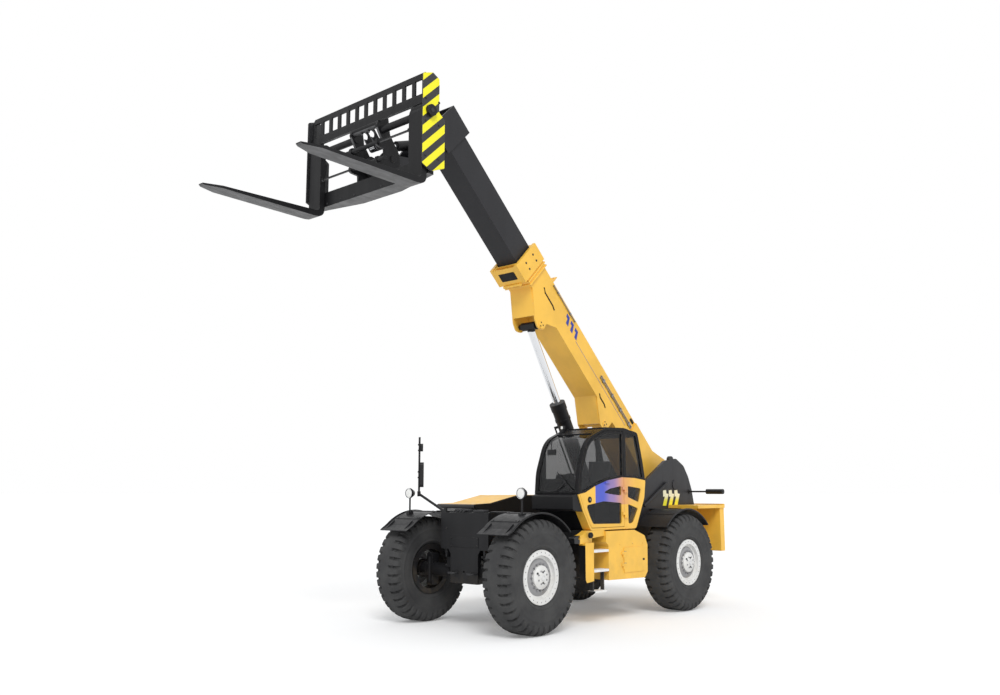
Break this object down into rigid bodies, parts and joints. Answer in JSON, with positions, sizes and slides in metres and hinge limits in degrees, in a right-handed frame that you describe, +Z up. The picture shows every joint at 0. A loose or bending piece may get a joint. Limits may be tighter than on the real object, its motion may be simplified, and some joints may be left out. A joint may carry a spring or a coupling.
{
  "type": "telehandler",
  "caption": "Rough-terrain telehandler with a side cab, four steered wheels and a raised two-section boom that carries a tilting fork carriage with sliding forks.",
  "frame": {"origin": "centre of the bounding box on the ground plane", "axes": "+X towards the front of the machine, +Y towards its left side with the cab, +Z up"},
  "size_m": [9.48, 2.7714, 7.8998],
  "materials": {
    "black_plastic": "matte",
    "boom_grey": "satin",
    "cast_black": "satin",
    "chrome_rod": "polished",
    "frame_black": "satin",
    "hazard": "satin",
    "machine_yellow": "satin",
    "seat_cloth": "woven",
    "steel_dark": "worn",
    "tyre_rubber": "matte",
    "white_paint": "satin",
    "window_glass": "clear"
  },
  "bodies": {
    "chassis": {"axle_front": "frame_black", "axle_rear": "frame_black", "boom_pivot_pin": "frame_black", "boom_tower": "frame_black", "cab_cowl": "frame_black", "cab_frame": "frame_black", "cab_glass": "window_glass", "cab_shell": "machine_yellow", "chassis_frame": "frame_black", "counterweight": "machine_yellow", "engine_bay": "frame_black", "engine_block": "cast_black", "fender_front_left": "black_plastic", "fender_front_right": "black_plastic", "fender_rear_left": "black_plastic", "fender_rear_right": "black_plastic", "front_mirror": "black_plastic", "headlights": "black_plastic", "ladder": "machine_yellow", "rear_mirror": "black_plastic", "seat": "seat_cloth", "seat_base": "frame_black", "side_box": "machine_yellow", "steering_console": "black_plastic", "work_light": "black_plastic"},
    "boom": {"boom_collar": "machine_yellow", "boom_pipes": "machine_yellow", "outer_boom": "machine_yellow", "slide_pads_front": "black_plastic"},
    "inner_boom": {"boom_head": "boom_grey", "inner_boom": "boom_grey", "slide_pads_rear": "black_plastic"},
    "cab_door": {"cab_door": "machine_yellow", "cab_door_glass": "window_glass"},
    "engine_hood": {"engine_hood": "machine_yellow"},
    "carriage": {"fork_carriage": "frame_black", "fork_positioners": "frame_black", "fork_shaft": "chrome_rod", "hazard_plate_left": "hazard", "hazard_plate_right": "hazard", "load_backrest": "frame_black"},
    "fork_left": {"fork_left": "steel_dark"},
    "fork_right": {"fork_right": "steel_dark"},
    "knuckle_front_left": {"knuckle_front_left": "frame_black"},
    "knuckle_front_right": {"knuckle_front_right": "frame_black"},
    "knuckle_rear_left": {"knuckle_rear_left": "frame_black"},
    "knuckle_rear_right": {"knuckle_rear_right": "frame_black"},
    "lift_barrel": {"lift_barrel": "frame_black"},
    "lift_rod": {"lift_rod": "chrome_rod"},
    "wheel_front_left": {"rim_front_left": "white_paint", "tyre_front_left": "tyre_rubber"},
    "wheel_front_right": {"rim_front_right": "white_paint", "tyre_front_right": "tyre_rubber"},
    "wheel_rear_left": {"rim_rear_left": "white_paint", "tyre_rear_left": "tyre_rubber"},
    "wheel_rear_right": {"rim_rear_right": "white_paint", "tyre_rear_right": "tyre_rubber"},
    "side_box_door": {"side_box_door": "machine_yellow"},
    "tilt_barrel": {"tilt_barrel": "frame_black"},
    "tilt_rod": {"tilt_rod": "chrome_rod"}
  },
  "joints": [
    {"name": "steer_front_left", "type": "hinge", "parent": "chassis", "child": "knuckle_front_left", "pos_m": [0.5935, 0.95, 0.8075], "axis": [0, 0, 1], "range_deg": [-30, 30]},
    {"name": "roll_front_left", "type": "hinge", "parent": "knuckle_front_left", "child": "wheel_front_left", "pos_m": [0.5935, 1.137, 0.8075], "axis": [0, 1, 0], "continuous": true},
    {"name": "steer_front_right", "type": "hinge", "parent": "chassis", "child": "knuckle_front_right", "pos_m": [0.5935, -0.95, 0.8075], "axis": [0, 0, 1], "range_deg": [-30, 30]},
    {"name": "roll_front_right", "type": "hinge", "parent": "knuckle_front_right", "child": "wheel_front_right", "pos_m": [0.5935, -1.137, 0.8075], "axis": [0, 1, 0], "continuous": true},
    {"name": "steer_rear_left", "type": "hinge", "parent": "chassis", "child": "knuckle_rear_left", "pos_m": [-3.2735, 0.95, 0.8075], "axis": [0, 0, 1], "range_deg": [-30, 30]},
    {"name": "roll_rear_left", "type": "hinge", "parent": "knuckle_rear_left", "child": "wheel_rear_left", "pos_m": [-3.2735, 1.137, 0.8075], "axis": [0, 1, 0], "continuous": true},
    {"name": "steer_rear_right", "type": "hinge", "parent": "chassis", "child": "knuckle_rear_right", "pos_m": [-3.2735, -0.95, 0.8075], "axis": [0, 0, 1], "range_deg": [-30, 30]},
    {"name": "roll_rear_right", "type": "hinge", "parent": "knuckle_rear_right", "child": "wheel_rear_right", "pos_m": [-3.2735, -1.137, 0.8075], "axis": [0, 1, 0], "continuous": true},
    {"name": "boom_lift", "type": "hinge", "parent": "chassis", "child": "boom", "pos_m": [-4.06, 0, 2.12], "axis": [0, -1, 0], "range_deg": [-44.5, 15.5]},
    {"name": "boom_extend", "type": "slide", "parent": "boom", "child": "inner_boom", "axis": [0.7133, 0, 0.7009], "range_m": [-2, 1.5]},
    {"name": "carriage_tilt", "type": "hinge", "parent": "inner_boom", "child": "carriage", "pos_m": [2.57735, 0, 6.67966], "axis": [0, 1, 0], "range_deg": [-55, 45]},
    {"name": "fork_left_slide", "type": "slide", "parent": "carriage", "child": "fork_left", "axis": [0, 1, 0], "range_m": [-0.5, 0]},
    {"name": "fork_right_slide", "type": "slide", "parent": "carriage", "child": "fork_right", "axis": [0, -1, 0], "range_m": [-0.5, 0]},
    {"name": "cab_door_swing", "type": "hinge", "parent": "chassis", "child": "cab_door", "pos_m": [-1.54, 1.28, 2.2], "axis": [0, 0, 1], "range_deg": [0, 90]},
    {"name": "hood_lift", "type": "hinge", "parent": "chassis", "child": "engine_hood", "pos_m": [-1.34, -0.432, 1.954], "axis": [-1, 0, 0], "range_deg": [0, 65]},
    {"name": "side_box_door_swing", "type": "hinge", "parent": "chassis", "child": "side_box_door", "pos_m": [-1.435, 1.302, 0.95], "axis": [0, 0, -1], "range_deg": [0, 100]},
    {"name": "lift_barrel_swing", "type": "hinge", "parent": "chassis", "child": "lift_barrel", "pos_m": [-2.75, 0, 1.1], "axis": [0, -1, 0], "range_deg": [-47.15, 16.55]},
    {"name": "lift_rod_slide", "type": "slide", "parent": "lift_barrel", "child": "lift_rod", "axis": [0.4901, 0, 0.8717], "range_m": [-1.172, 0.415]},
    {"name": "tilt_barrel_swing", "type": "hinge", "parent": "inner_boom", "child": "tilt_barrel", "pos_m": [1.32442, 0, 7.34116], "axis": [0, 1, 0], "range_deg": [-0.61, 0.69]},
    {"name": "tilt_rod_slide", "type": "slide", "parent": "tilt_barrel", "child": "tilt_rod", "axis": [0.9506, 0, -0.3105], "range_m": [-0.212, 0.175]}
  ],
  "couplings": [
    {"joint": "steer_front_right", "follows": "steer_front_left", "ratio": 1},
    {"joint": "steer_rear_right", "follows": "steer_rear_left", "ratio": 1},
    {"joint": "lift_barrel_swing", "follows": "boom_lift", "ratio": 1.0551},
    {"joint": "lift_rod_slide", "follows": "boom_lift", "m_per_rad": 1.4959},
    {"joint": "tilt_barrel_swing", "follows": "carriage_tilt", "ratio": -0.007},
    {"joint": "tilt_rod_slide", "follows": "carriage_tilt", "m_per_rad": 0.21}
  ]
}
